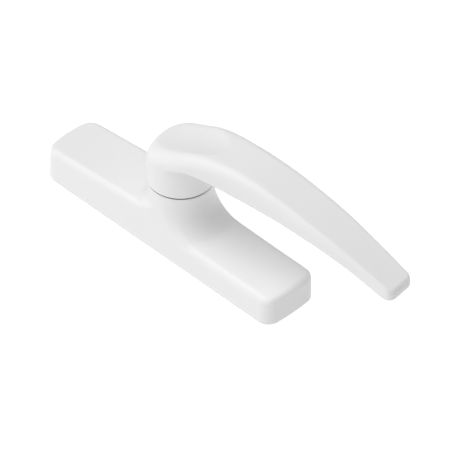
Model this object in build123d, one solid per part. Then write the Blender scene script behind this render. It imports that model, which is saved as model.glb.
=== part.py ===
"""Cremone window handle: slim gearbox casing, cranked lever, two driven racks.

Millimetres.  Z = 0 is the mounting face, +Z points into the room along the
lever's turning axis, and +X runs along the casing under the lever.
"""
import os
from math import acos, cos, pi, radians, sin, tan

from build123d import *

os.makedirs("parts", exist_ok=True)

# casing
RIGHT_REACH = 70.4
LEFT_REACH = 73.0
CASE_W = 30.3
RIGHT_H_END = 14.2
RIGHT_H_BOSS = 14.6
LEFT_H_END = 16.0
LEFT_H_BOSS = 22.0
CORNER_R = 5.0
EDGE_R = 3.0
WALL = 2.8
BAY_TOP = 11.5
BAY_CORNER_R = 2.6
BOSS_R = 15.15
BOSS_TOP = 35.2
SKIRT_RIGHT = 13.0
SKIRT_LEFT = 6.0
WEB_TOP = 16.0
WEB_HOLE_R = 6.4
BUSH_R = 10.0
SEAM_R = 14.5
SEAM_Z = 33.8
FLANGE_R = 15.0
FLANGE_T = 0.35
RELIEF_NEAR = 19.0
RELIEF_FAR = 64.0
RELIEF_TOP_NEAR = 16.6
RELIEF_TOP_FAR = 13.0
RELIEF_HALF = 9.0
FRICTION_TOP = 17.0

# back plate and fixings
PLATE_T = 2.0
PLATE_GAP = 0.1
FIX_X = 56.0
INSERT_R = 3.5
INSERT_TOP = 10.6
THREAD_R = 2.5
FIX_BOSS_R = 5.4
SCREW_X = 63.0
SCREW_Y = 7.4
SCREW_R = 1.5
SCREW_HEAD_R = 2.9
SCREW_LENGTH = 8.5
CROSS_HALF = 1.6
CROSS_THICK = 0.3
CROSS_DEPTH = 0.9
SCREW_HOLE_TOP = 10.0
POST_R = 3.2
BEARING_R = 6.6
JOURNAL_R = 5.0
SLOT_HALF = 3.0

# lever
REST_TURN = 7.0
LEVER_BASE = 35.9
HEAD_R = 15.5
HEAD_SHOULDER = 47.5
HEAD_TOP = 58.6
DOME = [(14.0, 52.8), (10.6, 55.9), (5.5, 57.9)]
# arm cross sections: distance along the arm, half width, underside, top, corner radius
STATIONS = [
    (-6.0, 8.0, 45.0, 56.6, 5.0),
    (3.0, 12.0, 47.0, 59.6, 5.0),
    (14.0, 14.2, 50.0, 63.4, 5.0),
    (24.0, 13.7, 52.6, 65.5, 4.4),
    (36.0, 12.6, 52.3, 66.2, 4.0),
    (52.0, 11.9, 51.2, 64.6, 3.6),
    (68.0, 11.4, 49.7, 60.9, 3.3),
    (84.0, 11.0, 47.0, 56.1, 3.0),
    (100.0, 9.5, 42.3, 50.2, 2.6),
    (112.0, 8.7, 37.2, 45.1, 2.5),
    (122.6, 8.0, 32.4, 40.4, 2.5),
]
TIP_ROUND = 1.4
DISH_X = 7.5
DISH_Z = 66.4
DISH_TILT = 17.0
DISH_SIZE = (21.0, 14.5, 6.3)
HUB_R = 8.0
HUB_BASE = 17.2
SQUARE = 7.0
SOCKET_BASE = 8.0
BOLT_R = 2.0
BOLT_TOP = 24.0
BOLT_SHORT = 2.0
BOLT_HEAD_R = 3.5
BOLT_HEAD_BASE = 2.6
HEX_R = 1.7
HEX_DEPTH = 2.0
WASHER_BASE = 5.8
WASHER_SPLIT = 0.25

# gear
COLLAR_R = 6.0
MODULE = 1.0
TEETH = 12
PITCH_R = MODULE * TEETH / 2
PRESSURE = radians(20)
BACKLASH = 0.12
GEAR_Z = 2.4
GEAR_TOP = 7.6
BLOCK_X = 40.0
TRAVEL = PITCH_R * pi
SHIFT = PITCH_R * radians(REST_TURN)
RACK_OUT = 11.9
RACK_ROOT = 7.2
FIT = 0.05
TIP_R = 6.9
ROOT_R = 4.95
FLANK_STEPS = 6
PINION_BASE = 0.4
HEAD_POCKET_R = 3.8
HEAD_POCKET_TOP = 6.2
RACK_START = -6.3
RACK_TIP = PITCH_R - 0.7 * MODULE
RACK_TEETH = range(-2, 8)

# guides and drive blocks
GUIDE_Z = 7.9
GUIDE_NEAR = 16.0
GUIDE_FAR = 49.0
GUIDE_WALL = 2.0
GUIDE_FLOOR = 1.6
GUIDE_RIB = 1.8
BLOCK_HALF = 6.0
BLOCK_IN = 4.9
DRIVE_R = 2.6
DRIVE_WALL = 1.0
DRIVE_TOP = 6.8
DOWEL_R = 1.0
DOWEL_X = 4.4
DOWEL_NEAR = 2.0
DOWEL_COVER = 0.4


def save(shape, name):
    export_step(shape, f"parts/{name}.step")


def cyl(radius, z0, z1, x=0.0, y=0.0):
    disc = Pos(x, y, z0) * Cylinder(radius, z1 - z0, align=(Align.CENTER, Align.CENTER, Align.MIN))
    return disc


def block(x0, x1, y0, y1, z0, z1):
    size = Box(x1 - x0, y1 - y0, z1 - z0, align=(Align.MIN, Align.MIN, Align.MIN))
    return Pos(x0, y0, z0) * size


def turned(shape):
    return Rot(0, 0, REST_TURN) * shape


# ---------------------------------------------------------------- casing
def case_half(side, reach, h_mid, h_end):
    """One half of the casing: plan outline and sloped top, outer edges rounded."""
    slab = extrude(RectangleRounded(2 * reach, CASE_W, CORNER_R), amount=LEFT_H_BOSS + 5)
    end = side * reach
    with BuildSketch(Plane.XZ) as wedge:
        with BuildLine():
            Polyline((0, 0), (end, 0), (end, h_end), (0, h_mid), close=True)
        make_face()
    prism = extrude(wedge.sketch, amount=CASE_W, both=True)
    half = slab & prism
    top = half.faces().sort_by(Axis.Z)[-1]
    rim = [e for e in top.edges() if abs(e.center().X) > 1.0]
    return fillet(rim, EDGE_R)


def skirt(side, z_low, radius):
    """Concave skirt that carries the boss down into one half of the top face."""
    z_high = z_low + radius
    reach = BOSS_R + radius
    middle = (reach - radius * sin(pi / 4), z_high - radius * cos(pi / 4))
    with BuildSketch(Plane.XZ) as half_section:
        with BuildLine():
            Polyline((BOSS_R, z_high), (0, z_high), (0, PLATE_T), (reach, PLATE_T), (reach, z_low))
            ThreePointArc((reach, z_low), middle, (BOSS_R, z_high))
        make_face()
    round_skirt = revolve(half_section.sketch, Axis.Z, 360)
    inset = CASE_W / 2 - EDGE_R
    with BuildSketch() as footprint:
        with BuildLine():
            for near in (1, -1):
                by_boss = (0, near * BOSS_R)
                half_way = (0.5 * side * reach, near * (BOSS_R - 0.8))
                far_out = (side * reach, near * inset)
                Spline(by_boss, half_way, far_out, tangents=[(side, 0), (side, -0.2 * near)])
            Line((0, -BOSS_R), (0, BOSS_R))
            Line((side * reach, inset), (side * reach, -inset))
        make_face()
    return round_skirt & extrude(footprint.sketch, amount=BOSS_TOP)


shell = case_half(1, RIGHT_REACH, RIGHT_H_BOSS, RIGHT_H_END)
shell += case_half(-1, LEFT_REACH, LEFT_H_BOSS, LEFT_H_END)
shell += skirt(1, RIGHT_H_BOSS, SKIRT_RIGHT) + skirt(-1, LEFT_H_BOSS - 1.6, SKIRT_LEFT)
shell += cyl(BOSS_R, PLATE_T, BOSS_TOP)

# casing hollow: parts space, boss bore, screw posts and fixing bosses
IN_X = RIGHT_REACH - WALL
IN_Y = CASE_W / 2 - WALL
bay = extrude(Pos(0, 0, -1) * RectangleRounded(2 * IN_X, 2 * IN_Y, BAY_CORNER_R), amount=BAY_TOP + 1)
with BuildSketch(Plane.XZ) as relief_side:
    with BuildLine():
        lower_edge = [(-RELIEF_FAR, BAY_TOP - 1), (-RELIEF_NEAR, BAY_TOP - 1)]
        upper_edge = [(-RELIEF_NEAR, RELIEF_TOP_NEAR), (-RELIEF_FAR, RELIEF_TOP_FAR)]
        Polyline(*lower_edge, *upper_edge, close=True)
    make_face()
relief = extrude(relief_side.sketch, amount=RELIEF_HALF, both=True)

fix_bosses = cyl(FIX_BOSS_R, PLATE_T, WEB_TOP, FIX_X) + cyl(FIX_BOSS_R, PLATE_T, WEB_TOP, -FIX_X)
posts = None
post_spots = [(sx * SCREW_X, sy * SCREW_Y) for sx in (1, -1) for sy in (1, -1)]
for px, py in post_spots:
    post = cyl(POST_R, PLATE_T, WEB_TOP, px, py)
    posts = post if posts is None else posts + post

casing = shell - ((bay + relief) - fix_bosses - posts)
casing -= cyl(WEB_HOLE_R, BAY_TOP - 1, WEB_TOP + 1)
casing -= cyl(BUSH_R, WEB_TOP, SEAM_Z)
casing -= cyl(SEAM_R, SEAM_Z, BOSS_TOP + 1)
for sx in (1, -1):
    casing -= cyl(INSERT_R, PLATE_T - 1, INSERT_TOP, sx * FIX_X)
for px, py in post_spots:
    casing -= cyl(SCREW_R, PLATE_T - 1, SCREW_HOLE_TOP, px, py)
save(casing, "casing")

# ---------------------------------------------------------------- back plate
PIN_NEAR = BLOCK_X - TRAVEL
PLATE_X = IN_X - PLATE_GAP
PLATE_Y = IN_Y - PLATE_GAP
plate = extrude(RectangleRounded(2 * PLATE_X, 2 * PLATE_Y, BAY_CORNER_R - PLATE_GAP), amount=PLATE_T)
slot_mid = (BLOCK_X + PIN_NEAR) / 2
slot = extrude(SlotCenterToCenter(TRAVEL + 1.0, 2 * SLOT_HALF), amount=PLATE_T + 1)
for sx in (1, -1):
    plate -= Pos(sx * slot_mid, 0, -0.5) * slot
    plate -= cyl(INSERT_R, -1, PLATE_T + 1, sx * FIX_X)
plate -= cyl(BEARING_R, -1, PLATE_T + 1)
SINK = SCREW_HEAD_R - SCREW_R


def sunk_screw():
    """Countersunk screw, head flush with Z = 0, cross recess in the head."""
    head = Cone(SCREW_HEAD_R, SCREW_R, SINK, align=(Align.CENTER, Align.CENTER, Align.MIN))
    shank = cyl(SCREW_R, SINK, SCREW_LENGTH)
    bar_along = block(-CROSS_HALF, CROSS_HALF, -CROSS_THICK, CROSS_THICK, -1, CROSS_DEPTH)
    bar_across = block(-CROSS_THICK, CROSS_THICK, -CROSS_HALF, CROSS_HALF, -1, CROSS_DEPTH)
    return head + shank - bar_along - bar_across


sink_tool = Cone(SCREW_HEAD_R, SCREW_R, SINK, align=(Align.CENTER, Align.CENTER, Align.MIN))
sink_tool += cyl(SCREW_R, SINK, PLATE_T + 1)
screws = []
for px, py in post_spots:
    plate -= Pos(px, py, 0) * sink_tool
    screws.append(Pos(px, py, 0) * sunk_screw())
save(plate, "base_plate")
save(Compound(screws), "base_plate_screws")

# fixing bushes: threaded sleeves that take the screws coming through the sash
inserts = []
for sx in (1, -1):
    ring = cyl(INSERT_R, 0, INSERT_TOP, sx * FIX_X) - cyl(THREAD_R, -1, INSERT_TOP + 1, sx * FIX_X)
    inserts.append(ring)
save(Compound(inserts), "fixing_bushes")

# ---------------------------------------------------------------- bearings on the casing
hub_bush = cyl(BUSH_R, FRICTION_TOP, SEAM_Z) - cyl(HUB_R + FIT, WEB_TOP, SEAM_Z + 1)
save(hub_bush, "hub_bush")
seam_ring = cyl(SEAM_R, SEAM_Z, BOSS_TOP) + cyl(FLANGE_R, BOSS_TOP, BOSS_TOP + FLANGE_T)
seam_ring -= cyl(HUB_R + FIT, SEAM_Z - 1, BOSS_TOP + 1)
save(seam_ring, "seam_ring")
friction_ring = cyl(BUSH_R, WEB_TOP, FRICTION_TOP) - cyl(WEB_HOLE_R, WEB_TOP - 1, FRICTION_TOP + 1)
save(friction_ring, "friction_ring")
lower_bearing = cyl(BEARING_R, 0, PLATE_T) - cyl(JOURNAL_R + FIT, -1, PLATE_T + 1)
save(lower_bearing, "lower_bearing")

guide = block(GUIDE_NEAR, GUIDE_FAR, -IN_Y, IN_Y, GUIDE_Z, BAY_TOP)
guide_middle = (GUIDE_NEAR + GUIDE_FAR) / 2
pocket_y = IN_Y - GUIDE_WALL
pockets = [
    (GUIDE_NEAR + GUIDE_WALL, guide_middle - GUIDE_RIB / 2),
    (guide_middle + GUIDE_RIB / 2, GUIDE_FAR - GUIDE_WALL),
]
for start, stop in pockets:
    guide -= block(start, stop, -pocket_y, pocket_y, GUIDE_Z + GUIDE_FLOOR, BAY_TOP + 1)
save(Compound([guide, Rot(0, 0, 180) * guide]), "guide_blocks")

# ---------------------------------------------------------------- lever
sections = []
for x, half, low, high, r in STATIONS:
    plane = Plane(origin=(x, 0, (low + high) / 2), x_dir=(0, 1, 0), z_dir=(1, 0, 0))
    sections.append(plane * RectangleRounded(2 * half, high - low, r))
arm = loft(sections)
tip_face = arm.faces().sort_by(Axis.X)[-1]
arm = fillet(tip_face.edges(), TIP_ROUND)

with BuildSketch(Plane.XZ) as head_half:
    with BuildLine():
        Line((0, LEVER_BASE), (HEAD_R, LEVER_BASE))
        Line((HEAD_R, LEVER_BASE), (HEAD_R, HEAD_SHOULDER))
        Spline((HEAD_R, HEAD_SHOULDER), *DOME, (0, HEAD_TOP), tangents=[(0, 1), (-1, 0)])
        Line((0, HEAD_TOP), (0, LEVER_BASE))
    make_face()
head = revolve(head_half.sketch, Axis.Z, 360)
dish = Pos(DISH_X, 0, DISH_Z) * Rot(0, -DISH_TILT, 0) * scale(Sphere(1), by=DISH_SIZE)
square_end = block(-SQUARE / 2, SQUARE / 2, -SQUARE / 2, SQUARE / 2, SOCKET_BASE, HUB_BASE)
lever = arm + head - dish
lever += cyl(HUB_R, HUB_BASE, LEVER_BASE)
lever += square_end
lever -= cyl(BOLT_R, SOCKET_BASE - 1, BOLT_TOP)
save(turned(lever), "lever")

# ---------------------------------------------------------------- pinion on the lever's square
BASE_R = PITCH_R * cos(PRESSURE)


def involute(angle):
    return tan(angle) - angle


def tooth_half_angle(radius):
    """Half the angle a pinion tooth covers at this radius."""
    pressure_here = acos(BASE_R / radius)
    at_pitch = (pi * MODULE / 4 - BACKLASH) / PITCH_R
    return at_pitch + involute(PRESSURE) - involute(pressure_here)


def pinion_outline():
    """Closed list of points around all the teeth, starting on +X."""
    points = []
    radii = [BASE_R + (TIP_R - BASE_R) * i / FLANK_STEPS for i in range(FLANK_STEPS + 1)]
    for tooth in range(TEETH):
        middle = 2 * pi * tooth / TEETH
        wide = tooth_half_angle(BASE_R)
        points.append((ROOT_R * cos(middle - wide), ROOT_R * sin(middle - wide)))
        for radius in radii:
            spread = tooth_half_angle(radius)
            points.append((radius * cos(middle - spread), radius * sin(middle - spread)))
        for radius in reversed(radii):
            spread = tooth_half_angle(radius)
            points.append((radius * cos(middle + spread), radius * sin(middle + spread)))
        points.append((ROOT_R * cos(middle + wide), ROOT_R * sin(middle + wide)))
    return points


gear_face = make_face(Polyline(*pinion_outline(), close=True))
pinion = extrude(Pos(0, 0, GEAR_Z) * gear_face, amount=GEAR_TOP - GEAR_Z)
pinion += cyl(JOURNAL_R, PINION_BASE, GEAR_Z)
pinion += cyl(COLLAR_R, GEAR_TOP, HUB_BASE)
pinion -= cyl(HEAD_POCKET_R, PINION_BASE - 1, HEAD_POCKET_TOP)
pinion -= cyl(BOLT_R, HEAD_POCKET_TOP - 1, SOCKET_BASE + 1)
pinion -= square_end
save(turned(pinion), "pinion")

bolt = cyl(BOLT_HEAD_R, BOLT_HEAD_BASE, WASHER_BASE) + cyl(BOLT_R, WASHER_BASE, BOLT_TOP - BOLT_SHORT)
bolt -= extrude(Pos(0, 0, BOLT_HEAD_BASE - 1) * RegularPolygon(HEX_R, 6), amount=HEX_DEPTH + 1)
save(turned(bolt), "retaining_screw")
spring_washer = cyl(BOLT_HEAD_R, WASHER_BASE, HEAD_POCKET_TOP) - cyl(BOLT_R, 0, SOCKET_BASE)
spring_washer -= block(0, HEAD_POCKET_R, -WASHER_SPLIT, WASHER_SPLIT, WASHER_BASE, HEAD_POCKET_TOP)
save(turned(spring_washer), "spring_washer")

# ---------------------------------------------------------------- racks and drive blocks
MID_Z = (GEAR_Z + GEAR_TOP) / 2


def rack_half_thick(y):
    """Half the width of a rack tooth at this distance from the pinion's axis."""
    return pi * MODULE / 4 - BACKLASH + (y - PITCH_R) * tan(PRESSURE)


def dowels():
    """Two pins across the joint of rack and drive block."""
    pins = []
    length = RACK_OUT - DOWEL_COVER - DOWEL_NEAR
    for side in (-1, 1):
        pin = Cylinder(DOWEL_R, length, align=(Align.CENTER, Align.CENTER, Align.MIN))
        pins.append(Pos(BLOCK_X + side * DOWEL_X, DOWEL_NEAR, MID_Z) * Rot(-90, 0, 0) * pin)
    return Compound(pins)


bar = block(RACK_START, BLOCK_X + BLOCK_HALF, RACK_ROOT, RACK_OUT, GEAR_Z, GEAR_TOP)
for k in RACK_TEETH:
    centre = (k + 0.5) * pi * MODULE
    tip = rack_half_thick(RACK_TIP)
    root = rack_half_thick(RACK_ROOT)
    rising = [(centre - root, RACK_ROOT), (centre - tip, RACK_TIP)]
    falling = [(centre + tip, RACK_TIP), (centre + root, RACK_ROOT)]
    profile = make_face(Polyline(*rising, *falling, close=True))
    bar += extrude(Pos(0, 0, GEAR_Z) * profile, amount=GEAR_TOP - GEAR_Z)
pins = dowels()
bar -= pins
foot = block(BLOCK_X - BLOCK_HALF, BLOCK_X + BLOCK_HALF, -BLOCK_IN, RACK_ROOT, GEAR_Z, GEAR_TOP)
foot -= cyl(DRIVE_R + DRIVE_WALL, 0, DRIVE_TOP, BLOCK_X)
foot -= pins
sleeve = cyl(DRIVE_R + DRIVE_WALL, GEAR_Z, DRIVE_TOP, BLOCK_X) - cyl(DRIVE_R, 0, GEAR_TOP + 1, BLOCK_X)

for turn, offset, label in ((0, -SHIFT, "right"), (180, SHIFT, "left")):
    place = Pos(offset, 0, 0) * Rot(0, 0, turn)
    save(place * bar, f"rack_{label}")
    save(place * foot, f"drive_block_{label}")
    save(place * sleeve, f"drive_bush_{label}")
    save(place * pins, f"block_dowels_{label}")
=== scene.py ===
"""White cremone window handle, built in the order the real one is put together."""
import math

import bpy
import numpy as np
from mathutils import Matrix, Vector


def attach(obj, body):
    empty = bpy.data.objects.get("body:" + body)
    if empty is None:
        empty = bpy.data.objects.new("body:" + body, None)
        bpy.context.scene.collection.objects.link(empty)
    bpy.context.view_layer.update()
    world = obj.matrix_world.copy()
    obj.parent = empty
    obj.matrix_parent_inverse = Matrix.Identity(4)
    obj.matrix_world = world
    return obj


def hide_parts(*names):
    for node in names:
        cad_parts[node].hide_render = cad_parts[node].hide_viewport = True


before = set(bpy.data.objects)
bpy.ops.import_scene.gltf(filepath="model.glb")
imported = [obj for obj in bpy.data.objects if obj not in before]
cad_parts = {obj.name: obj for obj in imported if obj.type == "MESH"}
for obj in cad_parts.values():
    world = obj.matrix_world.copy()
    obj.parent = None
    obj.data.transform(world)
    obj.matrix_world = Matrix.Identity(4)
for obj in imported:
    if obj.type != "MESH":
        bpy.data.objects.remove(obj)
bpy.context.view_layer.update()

# ---------------------------------------------------------------------------
# Camera.  A long lens above the near right-hand corner, so that the casing
# runs down to the right and the lever lies over it.
VIEW_TURN = math.radians(45.2)
VIEW_RISE = math.radians(42.6)
VIEW_DISTANCE = 3.40
SENSOR = 36.0
FRAME_SIDE = 450
PER_METRE = 2247.0
CENTRE_RIGHT = 0.01959
CENTRE_UP = 0.00457

toward = Vector((math.sin(VIEW_TURN) * math.cos(VIEW_RISE),
                 -math.cos(VIEW_TURN) * math.cos(VIEW_RISE),
                 math.sin(VIEW_RISE)))
rightward = Vector((math.cos(VIEW_TURN), math.sin(VIEW_TURN), 0.0))
upward = toward.cross(rightward)
aim = rightward * CENTRE_RIGHT + upward * CENTRE_UP
camera_data = bpy.data.cameras.new("studio_camera")
camera_data.sensor_width = SENSOR
camera_data.lens = SENSOR * PER_METRE * VIEW_DISTANCE / FRAME_SIDE
camera_data.clip_end = 6 * VIEW_DISTANCE
camera = bpy.data.objects.new("studio_camera", camera_data)
camera.location = aim + toward * VIEW_DISTANCE
camera.rotation_mode = "QUATERNION"
camera.rotation_quaternion = toward.to_track_quat("Z", "Y")
bpy.context.scene.collection.objects.link(camera)
bpy.context.scene.camera = camera

# ---------------------------------------------------------------------------
# Casing.  One die-casting: a slim box with rounded corners and edges, a round
# boss in the middle and concave skirts between them, hollow from behind.
MM = 0.001
RIGHT_REACH = 70.5
LEFT_REACH = 73.35
HALF_WIDE = 15.15
CORNER_RIGHT = 5.4
CORNER_LEFT = 5.2
BOW_RIGHT = 1.0
BOW_LEFT = 2.4
DRAFT_RIGHT = 0.025
DRAFT_LEFT = 0.055
EDGE_RIGHT = 3.2
EDGE_LEFT = 2.7
TOP_RIGHT = 14.15
TOP_RIGHT_BOSS = 14.4
TOP_LEFT_END = 15.5
TOP_LEFT_BOSS = 20.8
BOSS_RADIUS = 15.15
BOSS_TOP = 35.2
SKIRT_RIGHT = 15.0
SKIRT_LEFT = 6.0
SKIRT_RIGHT_SINK = 1.2
SKIRT_FOOT = 1.0
RIM_ROUND = 0.3
NO_ROUND = 0.1
HALVES_BLEND = 10.0
SKIRT_BLEND = 6.0
EDGE_FADE = (1.0, 13.0)
RIGHT_RISE = (16.0, 42.0)


def smooth_step(value, start, stop):
    """0 before start, 1 after stop, and a cubic ease between them."""
    t = np.clip((value - start) / (stop - start), 0, 1)
    return t * t * (3 - 2 * t)


def outline_distance(x, y, z=0.0):
    """Signed distance from the casing's rounded oblong outline, negative inside.

    The end faces are bowed: the half length shrinks with the square of y.
    The long sides lean in as z rises, more towards the ends than by the boss.
    """
    share = np.clip((np.abs(x) - BOSS_RADIUS) / (RIGHT_REACH - BOSS_RADIUS), 0, 1)
    lean = np.where(x > 0, DRAFT_RIGHT, DRAFT_LEFT) * share * z
    corner = np.where(x > 0, CORNER_RIGHT, CORNER_LEFT)
    bow = np.where(x > 0, BOW_RIGHT, BOW_LEFT)
    reach = np.where(x > 0, RIGHT_REACH, LEFT_REACH) - bow * (y / HALF_WIDE) ** 2
    ax = np.abs(x) - (reach - corner)
    ay = np.abs(y) - (HALF_WIDE - lean - corner)
    outside = np.hypot(np.maximum(ax, 0), np.maximum(ay, 0))
    return outside + np.minimum(np.maximum(ax, ay), 0) - corner


def top_height(x):
    """Height of the casing's top: level on the right, a straight rise to the boss on the left."""
    rise = np.clip((x + LEFT_REACH) / (LEFT_REACH - BOSS_RADIUS), 0, 1.25)
    left = TOP_LEFT_END + (TOP_LEFT_BOSS - TOP_LEFT_END) * rise
    share = smooth_step(x, -HALVES_BLEND, HALVES_BLEND)
    right = TOP_RIGHT_BOSS + (TOP_RIGHT - TOP_RIGHT_BOSS) * smooth_step(x, *RIGHT_RISE)
    return left * (1 - share) + right * share


def joined(a, b, radius):
    """Union of two distance fields with a concave fillet of this radius between them."""
    near = np.hypot(np.maximum(radius - a, 0), np.maximum(radius - b, 0))
    return np.maximum(radius, np.minimum(a, b)) - near


def trimmed(a, b, radius):
    """Intersection of two distance fields with a convex rounding of this radius."""
    past = np.hypot(np.maximum(a + radius, 0), np.maximum(b + radius, 0))
    return np.minimum(-radius, np.maximum(a, b)) + past


def merged(a, b, width):
    """Union of two fields, eased only where they differ by less than this width."""
    near = np.maximum(width - np.abs(a - b), 0) / width
    return np.minimum(a, b) - near ** 2 * width / 4


def casing_field(x, y, z):
    """Distance field of the casing's outside.

    The skirt is a concave fillet between the boss and a level sunk a little
    below the top, so it meets the top at a shallow angle.  Top and skirt are
    merged and then cut to the outline with a rounded edge.
    """
    around = np.hypot(x, y)
    share = smooth_step(x, -SKIRT_BLEND, SKIRT_BLEND)
    skirt = SKIRT_LEFT + (SKIRT_RIGHT - SKIRT_LEFT) * share
    edge = EDGE_LEFT + (EDGE_RIGHT - EDGE_LEFT) * share
    edge = NO_ROUND + (edge - NO_ROUND) * smooth_step(np.abs(x), *EDGE_FADE)
    sunk = z - top_height(x) + SKIRT_RIGHT_SINK * share
    upper = merged(joined(sunk, around - BOSS_RADIUS, skirt), z - top_height(x), SKIRT_FOOT)
    body = trimmed(upper, outline_distance(x, y, z), edge)
    return trimmed(body, z - BOSS_TOP, RIM_ROUND)


def settle(points, field, rounds=14, reach=0.6, step=1e-3):
    """Moves points on to the zero of a field by damped Newton steps along its gradient."""
    for _ in range(rounds):
        x, y, z = points[..., 0], points[..., 1], points[..., 2]
        here = field(x, y, z)
        slope = np.stack([
            (field(x + step, y, z) - field(x - step, y, z)) / (2 * step),
            (field(x, y + step, z) - field(x, y - step, z)) / (2 * step),
            (field(x, y, z + step) - field(x, y, z - step)) / (2 * step)], -1)
        size = np.maximum((slope ** 2).sum(-1), step)
        move = np.clip(here / size, -reach, reach)
        points = points - move[..., None] * slope
    return points


def reach_in(angle, distance):
    """Distance from the axis to an outline in each direction, by bisection of its signed distance."""
    low, high = np.full_like(angle, 5.0), np.full_like(angle, 90.0)
    for _ in range(50):
        middle = (low + high) / 2
        out = distance(middle * np.cos(angle), middle * np.sin(angle))
        low, high = np.where(out < 0, middle, low), np.where(out < 0, high, middle)
    return (low + high) / 2


def even_angles(count, boss_share):
    """Directions round the axis, spaced partly by outline length and partly by angle."""
    fine = np.linspace(0, 2 * np.pi, 20001)
    radius = reach_in(fine, outline_distance)
    steps = np.hypot(np.diff(radius * np.cos(fine)), np.diff(radius * np.sin(fine)))
    steps = steps / steps.sum() * (1 - boss_share) + np.diff(fine) / (2 * np.pi) * boss_share
    run = np.concatenate([[0], np.cumsum(steps)])
    return np.interp(np.arange(count) / count, run / run[-1], fine)


def resample(path, count):
    """Each row's poly-line, resampled at equal steps of its own length."""
    gaps = np.linalg.norm(np.diff(path, axis=1), axis=2)
    run = np.concatenate([np.zeros((len(path), 1)), np.cumsum(gaps, 1)], 1)
    run = run / run[:, -1:]
    wanted = np.linspace(0, 1, count)
    return np.stack([np.stack([np.interp(wanted, along, line[:, axis]) for axis in range(3)], -1)
                     for along, line in zip(run, path)])


def surface(name, grid, closed=False, cap_start=False, cap_end=False):
    """Mesh object from rings of points in millimetres, grid[around, along].

    Every cell is one quad.  closed joins the last ring to the first; a capped
    end is closed by a fan of triangles to the middle of its ring.
    """
    rows, columns = grid.shape[:2]
    index = np.arange(rows * columns).reshape(rows, columns)
    beside = np.roll(index, -1, 0)
    if closed:
        quads = np.stack([index, beside, np.roll(beside, -1, 1), np.roll(index, -1, 1)], -1)
    else:
        quads = np.stack([index[:, :-1], beside[:, :-1], beside[:, 1:], index[:, 1:]], -1)
    faces = quads.reshape(-1, 4).tolist()
    points = grid.reshape(-1, 3)
    for capped, column, order in ((cap_start, 0, -1), (cap_end, -1, 1)):
        if capped:
            points = np.vstack([points, grid[:, column].mean(0)[None]])
            hub = np.full(rows, len(points) - 1)
            fan = np.stack([index[:, column], beside[:, column], hub], -1)[:, ::order]
            faces += fan.tolist()
    mesh = bpy.data.meshes.new(name)
    mesh.from_pydata((points * MM).tolist(), [], faces)
    mesh.polygons.foreach_set("use_smooth", np.ones(len(mesh.polygons), dtype=bool))
    mesh.update()
    piece = bpy.data.objects.new(name, mesh)
    bpy.context.scene.collection.objects.link(piece)
    return piece


ROUND_COUNT = 620
OUTER_COUNT = 118
BOSS_SHARE = 0.3
angles = even_angles(ROUND_COUNT, BOSS_SHARE)
reach_out = reach_in(angles, outline_distance)
across = np.linspace(0, 1, 90)
radial = BOSS_RADIUS + (reach_out[:, None] - BOSS_RADIUS) * across[None]
cos_a, sin_a = np.cos(angles)[:, None], np.sin(angles)[:, None]
flat = top_height(radial * cos_a)
skirt_size = np.where(cos_a > 0, SKIRT_RIGHT, SKIRT_LEFT) + 0 * radial
gap = np.clip(BOSS_RADIUS + skirt_size - radial, 0, None)
height = np.maximum(flat, flat + skirt_size - np.sqrt(np.maximum(skirt_size ** 2 - gap ** 2, 0)))
height = np.where(gap > 0, height, flat)
height = np.minimum(height, BOSS_TOP)
top_path = np.stack([radial * cos_a, radial * sin_a, height], -1)
start = np.stack([BOSS_RADIUS * cos_a, BOSS_RADIUS * sin_a, np.full_like(cos_a, BOSS_TOP)], -1)
wall_down = np.linspace(0, 1, 40)[None, 1:]
wall_path = np.stack([
    (reach_out[:, None] * cos_a) + 0 * wall_down,
    (reach_out[:, None] * sin_a) + 0 * wall_down,
    height[:, -1:] * (1 - wall_down)], -1)
guess = resample(np.concatenate([start, top_path, wall_path], 1), OUTER_COUNT)
outer = settle(guess[:, 1:-1], casing_field)
foot = guess[:, -1:].copy()
foot[..., :2] = outer[:, -1:, :2]

# Inside of the casting: mechanism bay, web, bush bore and seam recess.
CREASE = 0.05
BAY_HALF_LONG = 67.6
BAY_HALF_WIDE = 12.35
BAY_CORNER = 2.6
BAY_ROOF = 11.5
WEB_RADIUS = 6.4
WEB_TOP = 16.0
BUSH_RADIUS = 10.0
SEAM_FLOOR = 33.8
SEAM_RADIUS = 14.5


def ring_at(radius, z):
    """One closed ring of points at this distance from the axis, which may vary with direction."""
    radius = np.broadcast_to(radius, angles.shape)
    ring = np.stack([radius * np.cos(angles), radius * np.sin(angles), np.full_like(angles, z)], -1)
    return ring[:, None]


def bay_distance(x, y):
    """Signed distance from the bay's outline, a rounded oblong, negative inside."""
    ax = np.abs(x) - (BAY_HALF_LONG - BAY_CORNER)
    ay = np.abs(y) - (BAY_HALF_WIDE - BAY_CORNER)
    return np.hypot(np.maximum(ax, 0), np.maximum(ay, 0)) + np.minimum(np.maximum(ax, ay), 0) - BAY_CORNER


bay = reach_in(angles, bay_distance)
inner = np.concatenate([
    ring_at(bay, 0.0), ring_at(bay, CREASE),
    ring_at(bay, BAY_ROOF - CREASE), ring_at(bay, BAY_ROOF), ring_at(bay - CREASE, BAY_ROOF),
    ring_at(WEB_RADIUS + CREASE, BAY_ROOF), ring_at(WEB_RADIUS, BAY_ROOF),
    ring_at(WEB_RADIUS, WEB_TOP), ring_at(BUSH_RADIUS, WEB_TOP),
    ring_at(BUSH_RADIUS, SEAM_FLOOR), ring_at(SEAM_RADIUS, SEAM_FLOOR),
    ring_at(SEAM_RADIUS, BOSS_TOP), ring_at(BOSS_RADIUS - 2 * RIM_ROUND, BOSS_TOP)], 1)
casing = surface("casing_shell", np.concatenate([outer, foot, inner], 1)[::-1], closed=True)
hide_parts("casing")
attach(casing, "casing")


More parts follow.
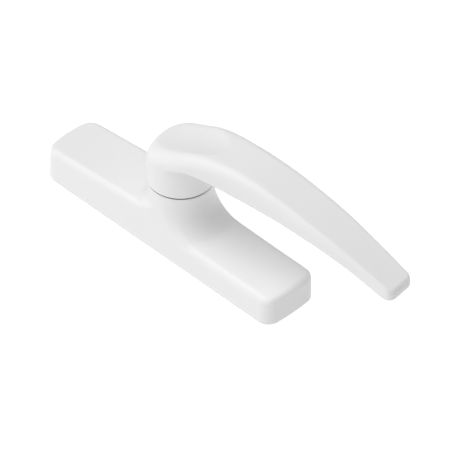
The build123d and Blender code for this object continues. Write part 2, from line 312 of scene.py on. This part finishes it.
# Powder coat: baked polyester with a very fine orange peel, no metal showing.
COAT_COLOUR = (0.83, 0.83, 0.83, 1.0)
COAT_SHADE = (0.81, 0.81, 0.81, 1.0)
COAT_ROUGHNESS = 0.42
COAT_SPECULAR = 0.4


def powder_coat():
    """White coat: faint cloudiness of tone, fine peel in the bump, half-matt sheen."""
    material = bpy.data.materials.new("powder_coat_white")
    material.use_nodes = True
    nodes, links = material.node_tree.nodes, material.node_tree.links
    shader = nodes["Principled BSDF"]
    place = nodes.new("ShaderNodeTexCoord")
    cloud = nodes.new("ShaderNodeTexNoise")
    cloud.inputs["Scale"].default_value = 45.0
    cloud.inputs["Detail"].default_value = 3.0
    tone = nodes.new("ShaderNodeMix")
    tone.data_type = "RGBA"
    tone.inputs["A"].default_value = COAT_COLOUR
    tone.inputs["B"].default_value = COAT_SHADE
    peel = nodes.new("ShaderNodeTexNoise")
    peel.inputs["Scale"].default_value = 1600.0
    peel.inputs["Detail"].default_value = 2.0
    bump = nodes.new("ShaderNodeBump")
    bump.inputs["Strength"].default_value = 0.12
    bump.inputs["Distance"].default_value = 0.00004
    links.new(place.outputs["Object"], cloud.inputs["Vector"])
    links.new(place.outputs["Object"], peel.inputs["Vector"])
    links.new(cloud.outputs["Fac"], tone.inputs["Factor"])
    links.new(tone.outputs["Result"], shader.inputs["Base Color"])
    links.new(peel.outputs["Fac"], bump.inputs["Height"])
    links.new(bump.outputs["Normal"], shader.inputs["Normal"])
    shader.inputs["Roughness"].default_value = COAT_ROUGHNESS
    shader.inputs["Specular IOR Level"].default_value = COAT_SPECULAR
    return material


coat = powder_coat()
casing.data.materials.append(coat)

# ---------------------------------------------------------------------------
# Posts cast inside the casing: two stout ones bored for the fixing bushes and
# four slim ones near the ends that the back plate's screws bite into.
PLATE_TOP = 2.05
POST_TOP = BAY_ROOF + 0.4
STOUT_AT = 56.0
SLIM_AT = (63.0, 7.4)
STOUT_RADIUS = 5.4
STOUT_BORE = 3.52
STOUT_DEPTH = 10.65
SLIM_RADIUS = 3.2
SLIM_BORE = 1.52
SLIM_DEPTH = 10.0


def post(name, x, y, radius, bore, depth):
    """Post of this radius with a blind bore from below: a profile carried round its own axis."""
    turn = np.linspace(0, 2 * np.pi, 48, endpoint=False)[:, None]
    wide = np.array([bore, bore, radius, radius])
    high = np.array([depth, PLATE_TOP, PLATE_TOP, POST_TOP]) + 0 * turn
    grid = np.stack([x + wide * np.cos(turn), y + wide * np.sin(turn), high], -1)
    piece = surface(name, grid, cap_start=True, cap_end=True)
    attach(piece, "casing")
    piece.data.materials.append(coat)


for number, side in enumerate((-1, 1)):
    post(f"fixing_post_{number + 1}", side * STOUT_AT, 0, STOUT_RADIUS, STOUT_BORE, STOUT_DEPTH)
for number, (side, near) in enumerate(((-1, -1), (-1, 1), (1, -1), (1, 1))):
    x, y = side * SLIM_AT[0], near * SLIM_AT[1]
    post(f"screw_post_{number + 1}", x, y, SLIM_RADIUS, SLIM_BORE, SLIM_DEPTH)

# ---------------------------------------------------------------------------
# Lever.  Die-cast in one piece: a round head, a shallow thumb dish in its top
# and an arched arm that tapers to a squared tip.  Worked out straight, then
# turned to its resting place.
REST_TURN = math.radians(7.0)
LEVER_FOOT = 35.9
HEAD_RADIUS = 15.5
TIP = 122.9
TIP_CORNER = 3.4
TOP_X = np.array([-15.6, -15.2, -13.4, -10.6, -7.0, -2.0, 4.0, 10.0, 18.0, 26.0,
                  36.0, 48.0, 59.0, 70.0, 82.0, 94.0, 103.0, 113.0, 124.5])
TOP_Z = np.array([45.5, 49.0, 53.0, 55.6, 57.0, 58.3, 60.2, 62.7, 65.0, 66.0,
                  66.3, 65.3, 63.2, 60.4, 56.8, 52.6, 49.0, 44.7, 39.5])
UNDER_X = np.array([0.0, 12.0, 24.0, 42.0, 53.0, 64.0, 76.0, 87.0, 98.0, 109.0, 117.0, 124.5])
UNDER_Z = np.array([54.4, 54.2, 53.4, 51.8, 51.0, 50.0, 48.1, 45.8, 42.5, 38.3, 34.8, 31.1])
PLAN_X = np.array([0.0, 6.0, 12.0, 20.0, 30.0, 42.0, 60.0, 82.0, 94.0, 103.0, 113.0, 124.5])
PLAN_Y = np.array([15.5, 15.4, 15.0, 14.2, 13.1, 12.2, 11.6, 10.8, 10.0, 9.3, 8.6, 7.8])
EDGE_X = np.array([-15.0, 0.0, 25.0, 60.0, 124.0])
EDGE_ROUND = np.array([6.5, 6.5, 5.0, 3.6, 1.7])
NECK_FILLET = 5.0
FOOT_ROUND = 0.3
UNDER_EDGE_X = [4, 20, 40, 124]
UNDER_EDGE_ROUND = [0.2, 3.2, 3.0, 2.4]
# The top and underside curves slope, so height above them is scaled towards true distance.
SLOPE_X = [-15.4, -9, -4]
SLOPE_SCALE = [0.45, 0.8, 0.94]
UNDER_SCALE = 0.95
DISH_AT = (7.5, 0.0)
DISH_HALF = (18.5, 10.6)
DISH_DEPTH = 1.3
DISH_LEAN = 0.75


def curve_value(x, xs, ys):
    """Smooth curve through the stations: Hermite cubic with averaged slopes, straight past the ends."""
    slopes = np.gradient(ys, xs)
    place = np.clip(np.searchsorted(xs, x) - 1, 0, len(xs) - 2)
    span = xs[place + 1] - xs[place]
    t = np.clip((x - xs[place]) / span, 0, 1)
    left, right = ys[place], ys[place + 1]
    a, b = slopes[place] * span, slopes[place + 1] * span
    value = (2 * t ** 3 - 3 * t ** 2 + 1) * left + (t ** 3 - 2 * t ** 2 + t) * a
    value = value + (3 * t ** 2 - 2 * t ** 3) * right + (t ** 3 - t ** 2) * b
    past = np.maximum(x - xs[-1], 0) * slopes[-1] + np.minimum(x - xs[0], 0) * slopes[0]
    return value + past


def lever_field(x, y, z):
    """Distance field of the lever.

    Under the top curve less the thumb dish, inside the plan outline, and
    either above the underside curve or within the head's column.
    """
    across, along = (y - DISH_AT[1]) / DISH_HALF[1], (x - DISH_AT[0]) / DISH_HALF[0]
    bowl = np.clip(1 - across ** 2 - along ** 2, 0, None) * (1 + DISH_LEAN * along)
    rise = z - curve_value(np.maximum(x, -HEAD_RADIUS), TOP_X, TOP_Z)
    top = rise * np.interp(x, SLOPE_X, SLOPE_SCALE) + DISH_DEPTH * bowl
    radius = np.hypot(x, y)
    plan = np.abs(y) - curve_value(np.maximum(x, 0.0), PLAN_X, PLAN_Y)
    plan = np.where(x < 0, radius - HEAD_RADIUS, plan)
    plan = trimmed(plan, x - TIP, TIP_CORNER)
    upper = trimmed(top, plan, np.interp(x, EDGE_X, EDGE_ROUND))
    under = (curve_value(x, UNDER_X, UNDER_Z) - z) * UNDER_SCALE
    lower = joined(under, radius - HEAD_RADIUS, NECK_FILLET)
    body = trimmed(upper, lower, np.interp(x, UNDER_EDGE_X, UNDER_EDGE_ROUND))
    return trimmed(body, LEVER_FOOT - z, FOOT_ROUND)


# Sections of the lever: level rings up the column, half planes fanning about
# the inner corner, then upright sections along the arm to the tip.
PIVOT_X = 21.0
PIVOT_Z = 44.5
FAN_TOP = 13.6
TIP_ZONE = 4.0
TIP_INSET = 0.03
AROUND = 200
TRIAL = 721


def sections():
    """Centre and outward direction of every section, from the head's foot to the tip."""
    level = np.linspace(LEVER_FOOT + 0.02, PIVOT_Z, 22)
    fan = np.linspace(np.pi, np.pi / 2, 70)[1:]
    closing = TIP - TIP_ZONE * np.cos(np.linspace(0, np.pi / 2, 22))[1:-1]
    run = np.concatenate([np.linspace(PIVOT_X, TIP - TIP_ZONE, 120)[1:], closing, [TIP - TIP_INSET]])
    mid_fan = np.interp(fan, [np.pi / 2, np.pi], [FAN_TOP, PIVOT_X])
    mid_run = (curve_value(run, TOP_X, TOP_Z) + curve_value(run, UNDER_X, UNDER_Z)) / 2
    centre = np.concatenate([
        np.stack([0 * level, 0 * level, level], -1),
        np.stack([PIVOT_X + mid_fan * np.cos(fan), 0 * fan, PIVOT_Z + mid_fan * np.sin(fan)], -1),
        np.stack([run, 0 * run, mid_run], -1)])
    outward = np.concatenate([
        np.stack([0 * level - 1, 0 * level, 0 * level], -1),
        np.stack([np.cos(fan), 0 * fan, np.sin(fan)], -1),
        np.stack([0 * run, 0 * run, 0 * run + 1], -1)])
    return centre, outward


def cast(centre, outward, angle, field):
    """Where rays in each section's plane leave the field, by bisection."""
    sideways = np.array([0.0, 1.0, 0.0])
    ray = np.cos(angle)[..., None] * outward[:, None] + np.sin(angle)[..., None] * sideways
    low, high = np.zeros(angle.shape), np.full(angle.shape, 30.0)
    for _ in range(40):
        middle = (low + high) / 2
        at = centre[:, None] + middle[..., None] * ray
        out = field(at[..., 0], at[..., 1], at[..., 2])
        low, high = np.where(out < 0, middle, low), np.where(out < 0, high, middle)
    return centre[:, None] + low[..., None] * ray


centre, outward = sections()
first = np.broadcast_to(np.linspace(0, 2 * np.pi, TRIAL), (len(centre), TRIAL))
rough = cast(centre, outward, first, lever_field)
stretch = np.linalg.norm(np.diff(rough, axis=1), axis=2)
stretch = np.concatenate([np.zeros((len(centre), 1)), np.cumsum(stretch, 1)], 1)
equal = np.arange(AROUND) / AROUND
even = np.stack([np.interp(equal * line[-1], line, first[0]) for line in stretch])
skin = cast(centre, outward, even, lever_field)

# Hub under the head, down the boss.
HUB_RADIUS = 8.0
HUB_FOOT = 17.2
FOOT_INSET = 0.8
HUB_PROFILE = [(HUB_RADIUS, HUB_FOOT), (HUB_RADIUS, LEVER_FOOT), (HEAD_RADIUS - FOOT_INSET, LEVER_FOOT)]
level_turn = even[0]
hub = [np.stack([-radius * np.cos(level_turn), radius * np.sin(level_turn), np.full(AROUND, z)], -1)
       for radius, z in HUB_PROFILE]
rings = np.concatenate([np.stack(hub), skin]).transpose(1, 0, 2)
cos_t, sin_t = math.cos(REST_TURN), math.sin(REST_TURN)
turned = np.stack([rings[..., 0] * cos_t - rings[..., 1] * sin_t,
                   rings[..., 0] * sin_t + rings[..., 1] * cos_t, rings[..., 2]], -1)
lever = surface("lever_grip", turned[::-1], cap_start=True, cap_end=True)
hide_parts("lever")
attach(lever, "lever")
lever.data.materials.append(coat)

# ---------------------------------------------------------------------------
# Back plate and its four countersunk screws.  Pressed from zinc-plated steel
# and screwed to the casing's slim posts.


GRAIN_SHADE = 0.86
ALL_WAYS = (300.0, 300.0, 300.0)


def machined(name, colour, rough, grain, metal=1.0, along=(60.0, 900.0, 900.0)):
    """Worked surface: fine grain drawn out one way, in tone and in roughness."""
    material = bpy.data.materials.new(name)
    material.use_nodes = True
    nodes, links = material.node_tree.nodes, material.node_tree.links
    shader = nodes["Principled BSDF"]
    place = nodes.new("ShaderNodeTexCoord")
    stretch_map = nodes.new("ShaderNodeMapping")
    stretch_map.inputs["Scale"].default_value = along
    noise = nodes.new("ShaderNodeTexNoise")
    noise.inputs["Scale"].default_value = 1.0
    noise.inputs["Detail"].default_value = 4.0
    ramp = nodes.new("ShaderNodeMapRange")
    ramp.inputs["To Min"].default_value = rough - grain
    ramp.inputs["To Max"].default_value = rough + grain
    tone = nodes.new("ShaderNodeMix")
    tone.data_type = "RGBA"
    tone.inputs["A"].default_value = (*[GRAIN_SHADE * part for part in colour], 1.0)
    tone.inputs["B"].default_value = (*colour, 1.0)
    links.new(place.outputs["Object"], stretch_map.inputs["Vector"])
    links.new(stretch_map.outputs["Vector"], noise.inputs["Vector"])
    links.new(noise.outputs["Fac"], ramp.inputs["Value"])
    links.new(noise.outputs["Fac"], tone.inputs["Factor"])
    links.new(ramp.outputs["Result"], shader.inputs["Roughness"])
    links.new(tone.outputs["Result"], shader.inputs["Base Color"])
    shader.inputs["Metallic"].default_value = metal
    return material


def finish(names, material):
    """Gives carried-over parts their finish."""
    for name in names:
        for place_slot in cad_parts[name].material_slots:
            place_slot.material = material


zinc_plate = machined("zinc_plated_steel", (0.62, 0.63, 0.65), 0.34, 0.08)
finish(["base_plate", "base_plate_screws"], zinc_plate)

# ---------------------------------------------------------------------------
# Fixing bushes and lower bearing.  Turned brass, pressed into the casing's
# stout posts and into the middle of the back plate.
turned_brass = machined("turned_brass", (0.72, 0.52, 0.24), 0.3, 0.06, along=(700.0, 700.0, 90.0))
finish(["fixing_bushes", "lower_bearing"], turned_brass)

# ---------------------------------------------------------------------------
# Hub bush and rack guides.  Moulded in natural nylon: the bush sits in the
# boss round the lever's hub, the guides under the casing's roof.
natural_nylon = machined("natural_nylon", (0.82, 0.81, 0.76), 0.48, 0.05, metal=0.0, along=ALL_WAYS)
finish(["hub_bush", "guide_blocks"], natural_nylon)

# ---------------------------------------------------------------------------
# Seam ring.  Moulded in nylon, let into the top of the boss; its flange
# is the dark line between the boss and the lever's head, coloured near black as painted shade for the
# shadow in that gap.
seam_shade_nylon = machined("seam_shade_nylon", (0.02, 0.02, 0.02), 0.6, 0.05, metal=0.0, along=ALL_WAYS)
finish(["seam_ring"], seam_shade_nylon)

# ---------------------------------------------------------------------------
# Pinion, racks and drive bushes.  Sintered steel, oiled, running between the
# back plate and the nylon guides.
gear_steel = machined("gear_steel", (0.36, 0.36, 0.37), 0.42, 0.08)
finish(["pinion", "rack_right", "rack_left", "drive_bush_right", "drive_bush_left"], gear_steel)

# ---------------------------------------------------------------------------
# Drive blocks.  Cast in zinc and left as cast, doweled to the racks.
raw_zinc = machined("die_cast_zinc", (0.55, 0.56, 0.57), 0.5, 0.08, along=(240.0, 240.0, 240.0))
finish(["drive_block_right", "drive_block_left"], raw_zinc)

# ---------------------------------------------------------------------------
# Friction ring, spring washer and dowels.  Ground spring steel; the washer
# sits under the head of the plated screw that holds the pinion to the lever.
spring_steel = machined("spring_steel", (0.44, 0.44, 0.46), 0.28, 0.05)
finish(["friction_ring", "spring_washer", "block_dowels_right", "block_dowels_left"], spring_steel)
finish(["retaining_screw"], zinc_plate)

# ---------------------------------------------------------------------------
# Studio floor.  A white sheet just under the mounting face that gives off its
# own even light, so that nothing darkens round the handle.
FLOOR_Z = -0.00005
FLOOR_SIDE = 6.0
FLOOR_GLOW = 1.0
bpy.ops.mesh.primitive_plane_add(size=FLOOR_SIDE, location=(0, 0, FLOOR_Z))
floor = bpy.context.object
floor.name = "studio_floor"
floor_paint = bpy.data.materials.new("floor_white")
floor_paint.use_nodes = True
floor_shader = floor_paint.node_tree.nodes["Principled BSDF"]
floor_shader.inputs["Base Color"].default_value = (0.08, 0.08, 0.08, 1)
floor_shader.inputs["Roughness"].default_value = 0.9
floor_shader.inputs["Emission Color"].default_value = (1, 1, 1, 1)
floor_shader.inputs["Emission Strength"].default_value = FLOOR_GLOW
floor.data.materials.append(floor_paint)

# ---------------------------------------------------------------------------
# Studio light.  A white tent round everything, brightest above and to the
# front left, and one broad soft lamp low on the far side.
TENT_BASE = 0.055
TENT_GLOW = 3.35
TENT_SPREAD = 5.0
TENT_SIDE = Vector((-0.19, -0.44, 1.0)).normalized()
world = bpy.data.worlds.new("studio_tent")
world.use_nodes = True
tent, tent_links = world.node_tree.nodes, world.node_tree.links
direction = tent.new("ShaderNodeTexCoord")
facing = tent.new("ShaderNodeVectorMath")
facing.operation = "DOT_PRODUCT"
facing.inputs[1].default_value = TENT_SIDE
lit = tent.new("ShaderNodeMath")
lit.operation = "MAXIMUM"
lit.inputs[1].default_value = 0.0
spread = tent.new("ShaderNodeMath")
spread.operation = "POWER"
spread.inputs[1].default_value = TENT_SPREAD
strength = tent.new("ShaderNodeMath")
strength.operation = "MULTIPLY_ADD"
strength.inputs[1].default_value = TENT_GLOW
strength.inputs[2].default_value = TENT_BASE
tent["Background"].inputs["Color"].default_value = (1, 1, 1, 1)
tent_links.new(direction.outputs["Generated"], facing.inputs[0])
tent_links.new(facing.outputs["Value"], lit.inputs[0])
tent_links.new(lit.outputs["Value"], spread.inputs[0])
tent_links.new(spread.outputs["Value"], strength.inputs[0])
tent_links.new(strength.outputs["Value"], tent["Background"].inputs["Strength"])
bpy.context.scene.world = world
bpy.context.scene.view_settings.view_transform = "Standard"

LAMP_PLACE = Vector((0.15, 0.9, 0.42))
LAMP_SIDE = 0.8
LAMP_POWER = 2.2
lamp_data = bpy.data.lights.new("far_side_lamp", "AREA")
lamp_data.size = LAMP_SIDE
lamp_data.energy = LAMP_POWER
lamp = bpy.data.objects.new("far_side_lamp", lamp_data)
lamp.location = LAMP_PLACE
lamp.rotation_mode = "QUATERNION"
lamp.rotation_quaternion = LAMP_PLACE.to_track_quat("Z", "Y")
bpy.context.scene.collection.objects.link(lamp)
